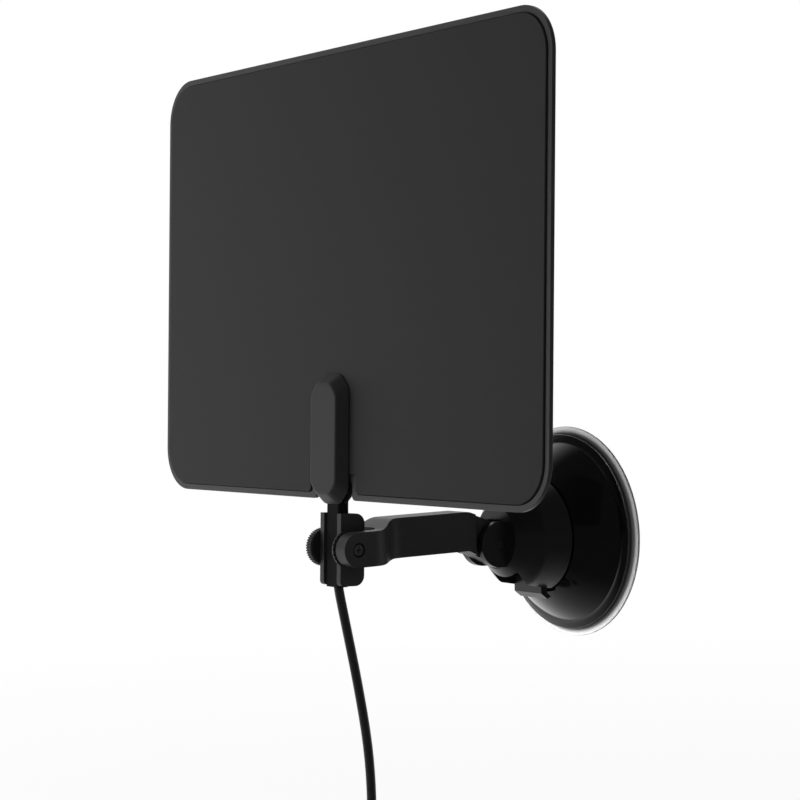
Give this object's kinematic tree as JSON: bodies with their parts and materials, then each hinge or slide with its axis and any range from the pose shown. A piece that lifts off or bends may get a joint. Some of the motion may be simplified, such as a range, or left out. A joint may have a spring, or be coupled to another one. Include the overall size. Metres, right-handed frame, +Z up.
{
  "type": "indoor tv antenna",
  "caption": "Flat rectangular indoor TV antenna with an amplifier housing, held by a tilting clip and arm on a suction cup with a lock lever, with a coiled coaxial lead.",
  "frame": {"origin": "centre of the suction face, where the cup meets the wall or window", "axes": "+Y into the wall, +Z up, +X to the right of someone who faces the antenna"},
  "size_m": [0.224, 0.1076, 0.3173],
  "materials": {
    "panel_face": "fine matte texture",
    "panel_rim": "satin",
    "housing": "satin",
    "stem": "satin",
    "arm": "satin",
    "knob": "semi-gloss, knurled",
    "bell": "gloss",
    "pad": "soft, translucent at the lip",
    "lead": "satin",
    "tie": "satin",
    "screw": "plain",
    "plug_metal": "bright",
    "foil": "foil",
    "board": "coated board"
  },
  "bodies": {
    "cup": {"suction_pad": "pad", "cup_bell": "bell", "neck_collar": "arm", "rear_nut": "screw", "lever_pin": "screw"},
    "plunger": {"plunger": "arm"},
    "lever": {"lock_lever": "arm"},
    "rear_screw": {"rear_thumb_screw": "knob"},
    "arm": {"support_arm": "arm"},
    "antenna": {"clip_channel": "arm", "pivot_screw": "screw", "cable_tail": "stem", "panel_rear_cover": "panel_rim", "panel_front_cover": "panel_face", "antenna_element": "foil", "housing_front": "housing", "amplifier_board": "board", "housing_rear": "housing", "housing_screw_lower": "screw", "housing_screw_upper": "screw", "cable_tube": "lead", "cable_coil": "lead", "coil_tie": "tie", "cable_end": "lead", "plug_grip": "lead", "plug_barrel": "plug_metal", "plug_pin": "plug_metal"},
    "clamp_screw": {"clamp_thumb_screw": "knob"}
  },
  "joints": [
    {"name": "arm_tilt", "type": "hinge", "parent": "cup", "child": "arm", "pos_m": [0, -0.0368, -0.0018], "axis": [1, 0, 0], "range_deg": [-30, 30]},
    {"name": "antenna_tilt", "type": "hinge", "parent": "arm", "child": "antenna", "pos_m": [0, -0.1007, 0.0016], "axis": [1, 0, 0], "range_deg": [-30, 30]},
    {"name": "lever_swing", "type": "hinge", "parent": "cup", "child": "lever", "pos_m": [0, -0.0192, -0.0115], "axis": [-1, 0, 0], "range_deg": [0, 60]},
    {"name": "plunger_slide", "type": "slide", "parent": "cup", "child": "plunger", "axis": [0, 1, 0], "range_m": [0, 0.0007]},
    {"name": "rear_screw_turn", "type": "hinge", "parent": "cup", "child": "rear_screw", "pos_m": [0, -0.0368, -0.0018], "axis": [1, 0, 0], "continuous": true},
    {"name": "clamp_screw_turn", "type": "hinge", "parent": "antenna", "child": "clamp_screw", "pos_m": [0, -0.1007, 0.0016], "axis": [1, 0, 0], "continuous": true}
  ],
  "couplings": [
    {"joint": "plunger_slide", "follows": "lever_swing", "m_per_rad": 0.000668}
  ]
}
